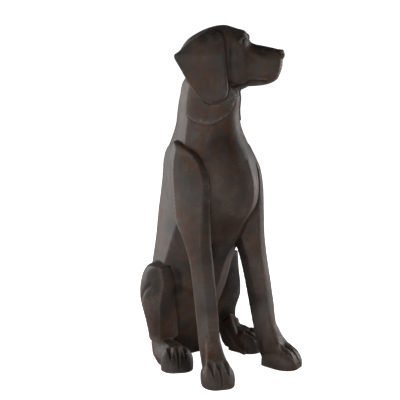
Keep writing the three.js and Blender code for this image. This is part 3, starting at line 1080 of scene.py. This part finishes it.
def toe_lines():
    """The grooves between the toes of all paws, from the knuckles down to the sole."""
    lines = []
    for paw, side in PAWS:
        put = paw_place(paw, side)
        half_width = paw["half_width"]
        for k in range(1, TOES):
            place = (2 * k) / TOES - 1
            short = TOE_SHORT * abs(place)
            path = [
                put(place * half_width * wide, (forward - short) * paw["length"], paw["height"] * high)
                for wide, forward, high in TOE_LINE]
            lines.append(smooth_rows(path, steps=4))
    return lines


def carve_toes(skin, depth):
    """Grooves between the toes: wide and deep at the knuckles, fine toward the sole."""
    groove = TOE_GROOVE
    hollow = PAW_HOLLOW
    amount = np.zeros(len(skin.points))
    for path in toe_lines():
        far, along = line_distance(skin.points, path)
        width = groove["wide"] - (groove["wide"] - groove["fine"]) * fade(along, 0.15, 0.7)
        shape = np.clip(1 - far / width, 0, 1) * fade(along, 0, 0.16) * (1 - fade(along, 0.92, 1))
        rim = bell(far - width, groove["rim_width"]) * fade(along, 0, 0.2) * (1 - fade(along, 0.8, 1))
        amount += groove["rim"] * rim - depth * (1.1 - 0.5 * along) * shape
    for paw, side in PAWS:
        place = paw_place(paw, side)(0, hollow["along"] * paw["length"], hollow["over"] * paw["height"])
        far = np.linalg.norm(skin.points - place, axis=1)
        amount -= hollow["depth"] * bell(far, hollow["reach"])
    skin.push(amount)


def toe_paint(points):
    """Painted shade in the wide upper part of the toe grooves, and rust in their fine lower part."""
    dark = np.zeros(len(points))
    rust = np.zeros(len(points))
    for path in toe_lines():
        far, along = line_distance(points, path)
        width = 6.0 - 3.6 * fade(along, 0.15, 0.7)
        dark = np.maximum(dark, (1 - fade(far, 0.4 * width, width)) * (1 - fade(along, 0.5, 0.85)))
        rust = np.maximum(rust, (1 - fade(far, 1.2, 3)) * fade(along, 0.35, 0.6) * (1 - fade(along, 0.94, 1)))
    return dark, rust


def line_shade(points):
    """Painted shade in long shaded places: inside the legs, on the left thigh and on the left lobe."""
    cover = np.zeros(len(points))
    for side in SIDES:
        path = [(side * (row[6] + 2), 0.25 * row[2] + 0.75 * row[3] + 4, row[0]) for row in FORELEG[6:]]
        far, _ = curve_distance(points, path, steps=3)
        cover = np.maximum(cover, 1 - fade(far, 10, 15))
    far, _ = curve_distance(points, LEFT_THIGH_SHADE, steps=3)
    cover = np.maximum(cover, 0.9 * (1 - fade(far, 12, 24)))
    depth, on_neck = lobe_reach(points, 1, limit=1.1)
    return np.maximum(cover, 0.9 * fade(depth, -2, 0) * (1 - fade(depth, 12, 20)) * on_neck)


def work_by_hand(skin, height):
    """Soft waves and shallow tool marks, as modelling by hand leaves them."""
    amount = np.empty(len(skin.points))
    for i, (x, y, z) in enumerate(skin.points):
        place = Vector((x, y, z * 0.6))
        amount[i] = noise.noise(place / 34) + 0.45 * noise.noise(place / 11 + Vector((7, 3, 1)))
    amount *= height * fade(skin.points[:, 2], 0.5, 6)
    skin.push(amount)


def stand_flat(skin):
    """Presses everything under the floor up to it, so that the dog stands flat."""
    skin.points[:, 2] = np.maximum(skin.points[:, 2], 0)
    skin.write()


def painted(points, places, head_places=(), sides=SIDES):
    """How strongly the listed spots cover each point; the spots hold painted light, painted shade, rust and
    smoothing.
    """
    cover = np.zeros(len(points))
    for side in sides:
        spots = [((side * x, y, z), *rest) for x, y, z, *rest in places]
        spots += [(on_head(forward, side * left, up), *rest) for forward, left, up, *rest in head_places]
        for place, reach, strength in spots:
            far = np.linalg.norm(points - place, axis=1)
            cover = np.maximum(cover, strength * (1 - fade(far, 0.35 * reach, reach)))
    return cover


def highlight_lines():
    """Edges with painted highlights, each with its strength and width."""
    rise = FRONT_FACE_RISE
    lines = [(CHEST_SHEEN, 1.0, 4.5)]
    for side in SIDES:
        push = LEFT_EAR_PUSH if side > 0 else 0
        lines += [
            ([(side * (row[1] - row[4]), row[2], row[0]) for row in FORELEG[2:]], 0.4, 2.4),
            ([(side * row[1], row[3], row[0]) for row in FORELEG[1:-1]], 0.8, 2.4),
            ([(side * (row[1] - row[4] - row[5]), row[2] - rise, row[0]) for row in FORELEG[2:-3]], 0.5, 2.4),
            ([(side * row[2], row[1] + 4, row[0]) for row in THIGH], 0.5, 2.4),
            ([(side * row[2], row[0], row[5]) for row in HIND_FOOT], 0.8, 2.4),
            ([on_head(row[1], side * (row[3] + push - EAR_EDGE / 2), row[0]) for row in EAR[5:-1]], 1.0, 2.0),
            (eye_ring(side), 1.0, 1.5),
            (nostril_ring(side), 1.0, 1.8),
        ]
    tail_top = [(x + 0.62 * radius, y - 0.45 * radius, z + 0.62 * radius) for x, y, z, radius in TAIL[5:]]
    lines.append((tail_top, 0.9, 2.4))
    return lines


def highlights_and_scratch(skin, on_side, out):
    """How strongly painted highlights lie on the edges, the rims of the lobes and the lips' front at each
    point, and how far the scratch is rubbed.
    """
    points = skin.points
    cover = np.zeros(len(points))
    for path, strength, width in highlight_lines():
        far, _ = curve_distance(points, path)
        cover = np.maximum(cover, strength * bell(far, width))
    low = 1 - 0.8 * fade(points[:, 2], 552, 568)
    for side in SIDES:
        depth, on_neck = lobe_reach(points, side, limit=1.1)
        cover = np.maximum(cover, 0.7 * bell(depth - 0.8, 1.2) * on_neck * low)
    far, _ = curve_distance(on_side, LIP_FRONT)
    cover = np.maximum(cover, bell(far, 2.2) * (out < 30))
    far, _ = curve_distance(points, CHEST_SCRATCH, steps=3)
    return np.maximum(cover, 0.6 * bell(far, 1.8))


def measure_relief(skin):
    """Stores where paint, painted light and painted shade lie, and how far each point stands out from, or
    lies below, the form around it.
    """
    points = skin.points
    fine = np.einsum("ij,ij->i", points - skin.neighbours(points), skin.normals)
    for _ in range(2):
        fine = 0.5 * fine + 0.5 * skin.neighbours(fine)
    soft = points.copy()
    for _ in range(36):
        soft = 0.4 * soft + 0.6 * skin.neighbours(soft)
    wide = np.einsum("ij,ij->i", points - soft, skin.normals) / FULL_RELIEF["wide"]
    forward, left, up = skin.on_face()
    on_side = np.column_stack([forward, up])
    far, _ = curve_distance(on_side, LIP_LINE)
    lips = (1 - fade(far, 1.2, 3)) * (np.abs(left) < 47) * (forward > 37)
    balls = eyeballs(points)
    toes_dark, toes_rust = toe_paint(points)
    # Painted shade: near black brown in shaded places, on the shoulder bevels, in the line between the lips,
    # in the wide part of the toe grooves and in the corner before each eye; the eyeballs are darkened too.
    shade_masks = [
        painted(points, SHADE_SPOTS, HEAD_SHADE_SPOTS),
        painted(points, LEFT_SHADE_SPOTS, sides=(1,)),
        line_shade(points),
        chamfer_shade(points),
        balls,
        lips,
        toes_dark,
    ]
    # Lighter on crisp raised edges, with painted highlights along the listed edges and the rubbed scratch on
    # the chest.
    crisp = 0.7 * np.clip(fine / FULL_RELIEF["fine"], 0, 1)
    ridge = np.maximum(crisp, highlights_and_scratch(skin, on_side, np.abs(left)))
    layers = {
        "ridge": ridge * (1 - balls),
        "raised": np.clip(wide, 0, 1),
        "hollow": np.clip(-wide, 0, 1),
        "painted_light": painted(points, PAINTED_LIGHT_SPOTS),
        "painted_shade": np.maximum.reduce(shade_masks),
        "rusted": np.maximum(painted(points, RUSTED, HEAD_RUSTED), toes_rust),
    }
    for name, values in layers.items():
        layer = skin.mesh.attributes.new(name, "FLOAT", "POINT")
        layer.data.foreach_set("value", values.astype(np.float32))


def fit_to_node(obj):
    """Scales and moves the drawn millimetres so that the piece fills the solid's box."""
    low, high = (np.array(corner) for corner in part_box(NODE))
    count = len(obj.data.vertices)
    points = np.empty(count * 3)
    obj.data.vertices.foreach_get("co", points)
    points = points.reshape(-1, 3)
    scale = (high[2] - low[2]) / (points[:, 2].max() - points[:, 2].min())
    move = (low + high) / 2 - scale * np.array([*DRAWN_MIDDLE, points[:, 2].max() / 2])
    points = points * scale + move
    obj.data.vertices.foreach_set("co", points.ravel())
    obj.data.update()


def new_group(name, inputs, outputs):
    """A shader node group with named inputs and outputs, and its two end nodes."""
    group = bpy.data.node_groups.new(name, "ShaderNodeTree")
    for label, kind, default in inputs:
        made = group.interface.new_socket(name=label, in_out="INPUT", socket_type=kind)
        if default is not None:
            made.default_value = default
    for label, kind in outputs:
        group.interface.new_socket(name=label, in_out="OUTPUT", socket_type=kind)
    start = add_node(group, "NodeGroupInput", (-900, 0))
    end = add_node(group, "NodeGroupOutput", (700, 0))
    return group, start, end


def add_node(tree, kind, place, **values):
    node = tree.nodes.new(kind)
    node.location = place
    for name, value in values.items():
        setattr(node, name, value)
    return node


def feed(tree, target, source):
    """Gives an input a plain value, or links another node's output to it."""
    if isinstance(source, bpy.types.NodeSocket):
        tree.links.new(source, target)
    else:
        target.default_value = source


def math_node(tree, operation, place, first, second, clamp=False):
    """A math node fed by sockets or plain numbers."""
    node = add_node(tree, "ShaderNodeMath", place, operation=operation, use_clamp=clamp)
    feed(tree, node.inputs[0], first)
    feed(tree, node.inputs[1], second)
    return node.outputs[0]


def ramp(tree, place, source, low, high):
    """A smooth step of a value between two levels."""
    node = add_node(tree, "ShaderNodeMapRange", place, interpolation_type="SMOOTHSTEP")
    for name, value in (("Value", source), ("From Min", low), ("From Max", high)):
        feed(tree, node.inputs[name], value)
    return node.outputs["Result"]


def noise_node(tree, place, vector, scale, detail, rough):
    node = add_node(tree, "ShaderNodeTexNoise", place)
    for name, value in (("Vector", vector), ("Scale", scale), ("Detail", detail), ("Roughness", rough)):
        feed(tree, node.inputs[name], value)
    return node.outputs["Fac"]


def patina_group():
    """Rusty patches that gather in hollows and drift over open faces."""
    group, start, end = new_group(
        "Patina patches",
        [("Place", "NodeSocketVector", None), ("Hollow", "NodeSocketFloat", 0.0),
         ("Rusted", "NodeSocketFloat", 0.0), ("Spread", "NodeSocketFloat", 0.5)],
        [("Mask", "NodeSocketFloat")])
    broad = noise_node(group, (-650, 200), start.outputs["Place"], 13, 5, 0.6)
    small = noise_node(group, (-650, -50), start.outputs["Place"], 110, 5, 0.62)
    drift = ramp(group, (-400, 200), broad, 0.36, 0.62)
    speckle = ramp(group, (-400, -50), small, 0.38, 0.6)
    drift = math_node(group, "MULTIPLY", (-250, 200), drift, start.outputs["Spread"])
    drift = math_node(group, "MAXIMUM", (-150, 300), drift, start.outputs["Rusted"])
    open_face = math_node(group, "MULTIPLY", (0, 200), drift, speckle)
    caught = math_node(group, "MULTIPLY", (-150, -150), start.outputs["Hollow"], small)
    caught = math_node(group, "MULTIPLY", (0, -150), caught, 0.9, clamp=True)
    both = math_node(group, "MAXIMUM", (250, 0), open_face, caught)
    group.links.new(both, end.inputs["Mask"])
    return group


def edge_light_group():
    """Painted highlights on edges and the rubbed scratch, broken up so that no edge is light along its whole
    length.
    """
    group, start, end = new_group(
        "Edge highlights and wear",
        [("Place", "NodeSocketVector", None), ("Ridge", "NodeSocketFloat", 0.0),
         ("Amount", "NodeSocketFloat", 1.0)],
        [("Mask", "NodeSocketFloat")])
    patchy = noise_node(group, (-650, 200), start.outputs["Place"], 26, 3, 0.5)
    gritty = noise_node(group, (-650, -50), start.outputs["Place"], 260, 4, 0.6)
    kept = ramp(group, (-400, 200), patchy, 0.34, 0.6)
    grit = ramp(group, (-400, -50), gritty, 0.3, 0.62)
    lit_edges = math_node(group, "MULTIPLY", (-150, 100), start.outputs["Ridge"], kept)
    lit_edges = math_node(group, "MULTIPLY", (50, 100), lit_edges, grit)
    lit_edges = math_node(group, "MULTIPLY", (250, 100), lit_edges, start.outputs["Amount"], clamp=True)
    group.links.new(lit_edges, end.inputs["Mask"])
    return group


def grain_group():
    """Fine pits and brush drag of a painted casting, as a height."""
    group, start, end = new_group(
        "Cast grain",
        [("Place", "NodeSocketVector", None), ("Size", "NodeSocketFloat", 1.0)],
        [("Height", "NodeSocketFloat")])
    stretch = add_node(group, "ShaderNodeVectorMath", (-700, -250), operation="MULTIPLY")
    stretch.inputs[1].default_value = (1.0, 1.0, 0.22)
    group.links.new(start.outputs["Place"], stretch.inputs[0])
    pits = noise_node(group, (-450, 200), start.outputs["Place"], 520, 3, 0.6)
    drag = noise_node(group, (-450, -200), stretch.outputs[0], 330, 4, 0.65)
    lumps = noise_node(group, (-450, 0), start.outputs["Place"], 95, 3, 0.5)
    total = math_node(group, "ADD", (-200, 100), pits, drag)
    total = math_node(group, "ADD", (0, 0), total, lumps)
    total = math_node(group, "MULTIPLY", (200, 0), total, start.outputs["Size"])
    group.links.new(total, end.inputs["Height"])
    return group


def place_group(tree, group, place, **values):
    """A node group in a material, its inputs fed by sockets or plain numbers."""
    node = add_node(tree, "ShaderNodeGroup", place, node_tree=group)
    for name, value in values.items():
        feed(tree, node.inputs[name], value)
    return node.outputs[0]


def mix_colours(tree, place, mask, below, above):
    """Lays one colour over another through a mask."""
    node = add_node(tree, "ShaderNodeMix", place, data_type="RGBA")
    tree.links.new(mask, node.inputs["Factor"])
    for name, source in (("A", below), ("B", above)):
        feed(tree, next(s for s in node.inputs if s.name == name and s.type == "RGBA"), source)
    return next(s for s in node.outputs if s.type == "RGBA")


def resin_material(finish):
    """Satin painted resin: dark ground, grey brown in clouds and on raised forms, painted light and painted
    shade, rust in hollows, and painted highlights on edges.
    """
    material = bpy.data.materials.new("painted_resin")
    material.use_nodes = True
    tree = material.node_tree
    shader = tree.nodes["Principled BSDF"]
    place = add_node(tree, "ShaderNodeTexCoord", (-1500, 0)).outputs["Object"]
    layers = {}
    for step, name in enumerate(("ridge", "raised", "hollow", "painted_light", "painted_shade", "rusted")):
        node = add_node(tree, "ShaderNodeAttribute", (-1500, -200 - 180 * step), attribute_name=name)
        layers[name] = node.outputs["Fac"]
    rust = place_group(
        tree, patina_group(), (-1100, -400), Place=place, Hollow=layers["hollow"], Rusted=layers["rusted"],
        Spread=0.78)
    edge_light_and_wear = place_group(tree, edge_light_group(), (-1100, -150), Place=place, Ridge=layers["ridge"], Amount=1.0)
    grain = place_group(tree, grain_group(), (-1100, -700), Place=place, Size=1.0)

    # Grey brown in random clouds and on raised forms, with painted light added on the faces of the painted
    # light spots.
    cloud = noise_node(tree, (-1100, 300), place, 9, 6, 0.62)
    dust_and_light_mask = ramp(tree, (-850, 300), cloud, 0.3, 0.72)
    lifted = math_node(tree, "MULTIPLY", (-850, 100), layers["raised"], 0.6)
    dust_and_light_mask = math_node(tree, "ADD", (-650, 250), dust_and_light_mask, lifted)
    dust_and_light_mask = math_node(tree, "ADD", (-550, 250), dust_and_light_mask, layers["painted_light"], clamp=True)
    shade = math_node(tree, "MULTIPLY", (-550, 50), layers["painted_shade"], 0.88)
    # Painted light: a light grey haze over the same faces.
    face_light = math_node(tree, "MULTIPLY", (-450, 0), layers["painted_light"], 0.36)
    bare = math_node(tree, "SUBTRACT", (-450, -100), 1.0, shade)
    rusty = math_node(tree, "MULTIPLY", (-350, 0), rust, bare)
    colour = finish.resin
    # Layers over the resin: grey brown with painted light, painted shade, a haze of painted light, rust, then
    # painted highlights and rubbed wear on edges.
    coats = (
        (dust_and_light_mask, finish.dust_and_light),
        (shade, finish.shade_colour),
        (face_light, finish.highlight_and_wear),
        (rusty, finish.rust),
        (edge_light_and_wear, finish.highlight_and_wear),
    )
    for step, (mask, coat) in enumerate(coats):
        colour = mix_colours(tree, (-450 + 100 * step, 200), mask, colour, coat)
    tree.links.new(colour, shader.inputs["Base Color"])

    uneven = noise_node(tree, (-650, -150), place, 40, 4, 0.6)
    gloss = add_node(tree, "ShaderNodeMapRange", (-450, -150))
    gloss.inputs["To Min"].default_value = finish.roughness - 0.1
    gloss.inputs["To Max"].default_value = finish.roughness + 0.12
    tree.links.new(uneven, gloss.inputs["Value"])
    tree.links.new(gloss.outputs["Result"], shader.inputs["Roughness"])

    bump = add_node(tree, "ShaderNodeBump", (-250, -500))
    bump.inputs["Strength"].default_value = 0.35
    bump.inputs["Distance"].default_value = 0.5 * MM
    tree.links.new(grain, bump.inputs["Height"])
    tree.links.new(bump.outputs["Normal"], shader.inputs["Normal"])
    shader.inputs["Specular IOR Level"].default_value = 0.3
    return material


def floor_material(colour, glow):
    """A white floor that the camera sees brighter than its light, so that it meets the white surround."""
    material = bpy.data.materials.new("pale_floor")
    material.use_nodes = True
    tree = material.node_tree
    shader = tree.nodes["Principled BSDF"]
    shader.inputs["Base Color"].default_value = colour
    shader.inputs["Roughness"].default_value = 0.9
    shader.inputs["Emission Color"].default_value = (1, 1, 1, 1)
    seen = add_node(tree, "ShaderNodeLightPath", (-600, -300)).outputs["Is Camera Ray"]
    tree.links.new(math_node(tree, "MULTIPLY", (-300, -300), seen, glow), shader.inputs["Emission Strength"])
    return material


class SITTINGDOG_OT_casting(bpy.types.Operator):
    """Models the dog, fuses its forms into one skin, carves it and gives it its finish"""

    bl_idname = "sitting_dog.casting"
    bl_label = "Build the casting"

    def execute(self, context):
        sizes = context.scene.dog_sizes
        mesh = model_forms().mesh("cast_forms")
        dog = bpy.data.objects.new("dog_casting", mesh)
        context.scene.collection.objects.link(dog)
        fuse(dog, sizes.skin / MM)
        skin = Skin(dog.data)
        skin.relax(rounds=2, share=0.5)
        skin.relax_at(painted(skin.points, BLENDED), rounds=60)
        soften_chest(skin)
        raise_lobes(skin, sizes.lobe_rise / MM)
        carve_creases(skin)
        carve_lips(skin, sizes.lip_depth / MM)
        carve_face(skin)
        carve_toes(skin, sizes.toe_depth / MM)
        work_by_hand(skin, sizes.hand_work / MM)
        stand_flat(skin)
        thin(dog, sizes.faces)
        measure_relief(Skin(dog.data))
        fit_to_node(dog)
        dog.data.polygons.foreach_set("use_smooth", [True] * len(dog.data.polygons))
        dog.data.materials.clear()
        dog.data.materials.append(resin_material(context.scene.dog_finish))
        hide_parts(NODE)
        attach(dog, "root")
        return {"FINISHED"}


def drawn_middle():
    """Where the middle of the dog's drawn frame lies in the solid's frame, in metres."""
    low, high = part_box(NODE)
    return Vector([(low[k] + high[k]) / 2 - DRAWN_MIDDLE[k] * MM for k in (0, 1)] + [0])


def add_area_light(name, place, target, size, power):
    light = bpy.data.lights.new(name, "AREA")
    light.shape = "RECTANGLE"
    light.size, light.size_y = size
    light.energy = power
    obj = bpy.data.objects.new(name, light)
    obj.location = place
    obj.rotation_euler = (target - place).to_track_quat("-Z", "Y").to_euler()
    bpy.context.scene.collection.objects.link(obj)


def add_floor(colour, glow):
    wide = FLOOR_HALF_WIDTH
    mesh = bpy.data.meshes.new("floor")
    corners = [(-wide, -wide, 0), (wide, -wide, 0), (wide, wide, 0), (-wide, wide, 0)]
    mesh.from_pydata(corners, [], [(0, 1, 2, 3)])
    floor = bpy.data.objects.new("floor", mesh)
    floor.data.materials.append(floor_material(colour, glow))
    bpy.context.scene.collection.objects.link(floor)


def light_world(cast):
    """A white surround for the camera, which lights the dog from round the horizon and not from above."""
    world = bpy.data.worlds.new("studio")
    world.use_nodes = True
    tree = world.node_tree
    tree.nodes.clear()
    out = add_node(tree, "ShaderNodeOutputWorld", (600, 0))
    mix = add_node(tree, "ShaderNodeMixShader", (400, 0))
    path = add_node(tree, "ShaderNodeLightPath", (200, 300))
    soft = add_node(tree, "ShaderNodeBackground", (200, 0))
    white = add_node(tree, "ShaderNodeBackground", (200, -150))
    for background in (soft, white):
        background.inputs["Color"].default_value = (1, 1, 1, 1)
    way = add_node(tree, "ShaderNodeTexCoord", (-600, 0))
    parts = add_node(tree, "ShaderNodeSeparateXYZ", (-400, 0))
    band = add_node(tree, "ShaderNodeMapRange", (-200, 0), interpolation_type="SMOOTHSTEP")
    band.inputs["From Min"].default_value = 0.05
    band.inputs["From Max"].default_value = 0.75
    band.inputs["To Min"].default_value = cast
    band.inputs["To Max"].default_value = 0.0
    tree.links.new(way.outputs["Generated"], parts.inputs[0])
    tree.links.new(parts.outputs["Z"], band.inputs["Value"])
    tree.links.new(band.outputs["Result"], soft.inputs["Strength"])
    tree.links.new(path.outputs["Is Camera Ray"], mix.inputs["Fac"])
    tree.links.new(soft.outputs[0], mix.inputs[1])
    tree.links.new(white.outputs[0], mix.inputs[2])
    tree.links.new(mix.outputs[0], out.inputs["Surface"])
    bpy.context.scene.world = world


class SITTINGDOG_OT_stage(bpy.types.Operator):
    """Sets the pale floor, the studio lights and the camera"""

    bl_idname = "sitting_dog.stage"
    bl_label = "Set the stage"

    def execute(self, context):
        stage = context.scene.dog_stage
        middle = drawn_middle()
        back = Vector((-math.sin(stage.azimuth), -math.cos(stage.azimuth), 0))
        right = Vector((math.cos(stage.azimuth), -math.sin(stage.azimuth), 0))
        lens = bpy.data.cameras.new("camera")
        lens.lens = stage.lens
        lens.sensor_width = 36
        camera = bpy.data.objects.new("camera", lens)
        camera.location = middle + back * stage.distance + Vector((-stage.aim_left, 0, stage.height))
        camera.rotation_euler = (math.pi / 2 - stage.pitch, 0, -stage.azimuth)
        context.scene.collection.objects.link(camera)
        context.scene.camera = camera

        add_floor(stage.floor, stage.floor_glow)
        chest = middle + Vector((0, 0, CHEST_HEIGHT))
        for name, (to_right, toward, above, wide, high, power) in LIGHTS.items():
            place = chest + right * to_right + back * toward + Vector((0, 0, above))
            add_area_light(name, place, chest, (wide, high), power)
        light_world(stage.surround)
        context.scene.view_settings.view_transform = "Standard"
        return {"FINISHED"}


class SITTINGDOG_PT_panel(bpy.types.Panel):
    """Lists the dog's sizes, colours and build steps"""

    bl_label = "Sitting Dog"
    bl_idname = "SITTINGDOG_PT_panel"
    bl_space_type = "VIEW_3D"
    bl_region_type = "UI"
    bl_category = "Sitting Dog"

    def draw(self, context):
        for group in (context.scene.dog_sizes, context.scene.dog_finish, context.scene.dog_stage):
            box = self.layout.box()
            for name in group.__annotations__:
                box.prop(group, name)
        for operator in (SITTINGDOG_OT_casting, SITTINGDOG_OT_stage):
            self.layout.operator(operator.bl_idname)


CLASSES = (DogSizes, DogFinish, DogStage, SITTINGDOG_OT_casting, SITTINGDOG_OT_stage, SITTINGDOG_PT_panel)


def register():
    for cls in CLASSES:
        bpy.utils.register_class(cls)
    bpy.types.Scene.dog_sizes = bpy.props.PointerProperty(type=DogSizes)
    bpy.types.Scene.dog_finish = bpy.props.PointerProperty(type=DogFinish)
    bpy.types.Scene.dog_stage = bpy.props.PointerProperty(type=DogStage)


def unregister():
    del bpy.types.Scene.dog_sizes
    del bpy.types.Scene.dog_finish
    del bpy.types.Scene.dog_stage
    for cls in reversed(CLASSES):
        bpy.utils.unregister_class(cls)


def main():
    register()
    bpy.ops.sitting_dog.casting()
    bpy.ops.sitting_dog.stage()


if __name__ == "__main__":
    main()
